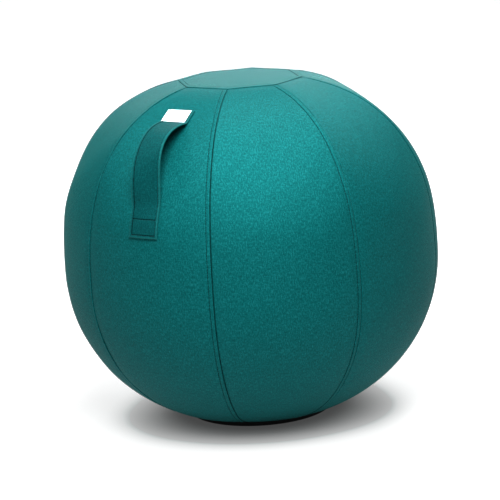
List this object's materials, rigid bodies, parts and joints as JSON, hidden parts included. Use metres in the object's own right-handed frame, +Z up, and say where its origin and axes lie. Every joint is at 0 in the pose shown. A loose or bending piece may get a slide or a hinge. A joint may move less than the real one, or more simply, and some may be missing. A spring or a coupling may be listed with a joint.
{
  "type": "sitting ball",
  "caption": "Fabric covered sitting ball with a flat ring base, an octagonal top cap, a carry strap on one panel and a rear zip.",
  "frame": {"origin": "middle of the flat base, on the floor", "axes": "+Z up; the panel with the carry strap faces -Y; +X is to the right of someone who looks along +Y at the strap"},
  "size_m": [0.65, 0.65, 0.591],
  "materials": {
    "cover_fabric": "woven, melange",
    "cap_fabric": "woven, melange",
    "base_leather": "grained, non-slip",
    "hoop_steel": "plain steel rod",
    "webbing": "woven webbing",
    "label_cloth": "satin, blank",
    "zip_tape": "woven tape",
    "zip_plastic": "moulded",
    "zip_metal": "satin nickel",
    "ball_skin": "matt, slightly tacky",
    "valve_plastic": "moulded"
  },
  "bodies": {
    "cover": {"gore_1": "cover_fabric", "gore_2": "cover_fabric", "gore_3": "cover_fabric", "gore_4": "cover_fabric", "gore_5": "cover_fabric", "gore_6": "cover_fabric", "gore_7": "cover_fabric", "gore_8": "cover_fabric", "top_cap": "cap_fabric", "base_panel": "base_leather", "hoop_sleeve": "base_leather", "base_hoop": "hoop_steel", "strap_top_end": "webbing", "strap_low_end": "webbing", "label": "label_cloth", "zip_tape_left": "zip_tape", "zip_tape_right": "zip_tape", "zip_teeth_left": "zip_plastic", "zip_teeth_right": "zip_plastic", "zip_top_stops": "zip_plastic", "zip_bottom_stop": "zip_plastic", "inner_ball": "ball_skin", "valve_seat": "valve_plastic", "valve_plug": "valve_plastic"},
    "strap": {"handle_strap": "webbing"},
    "slider": {"zip_slider": "zip_metal"},
    "pull_tab": {"zip_pull": "zip_metal"}
  },
  "joints": [
    {"name": "strap_swing", "type": "hinge", "parent": "cover", "child": "strap", "pos_m": [0, -0.20014, 0.54605], "axis": [0, -0.6371, -0.7707], "range_deg": [-10, 10], "stiffness_Nm_per_rad": 0.5},
    {"name": "zip_travel", "type": "hinge", "parent": "cover", "child": "slider", "pos_m": [-0.01913, 0.04619, 0.27217], "axis": [-0.9239, -0.3827, 0], "range_deg": [0, 42.6]},
    {"name": "pull_tab_pivot", "type": "hinge", "parent": "slider", "child": "pull_tab", "pos_m": [-0.12376, 0.29879, 0.23476], "axis": [0.9239, 0.3827, 0], "range_deg": [-5, 160]}
  ]
}
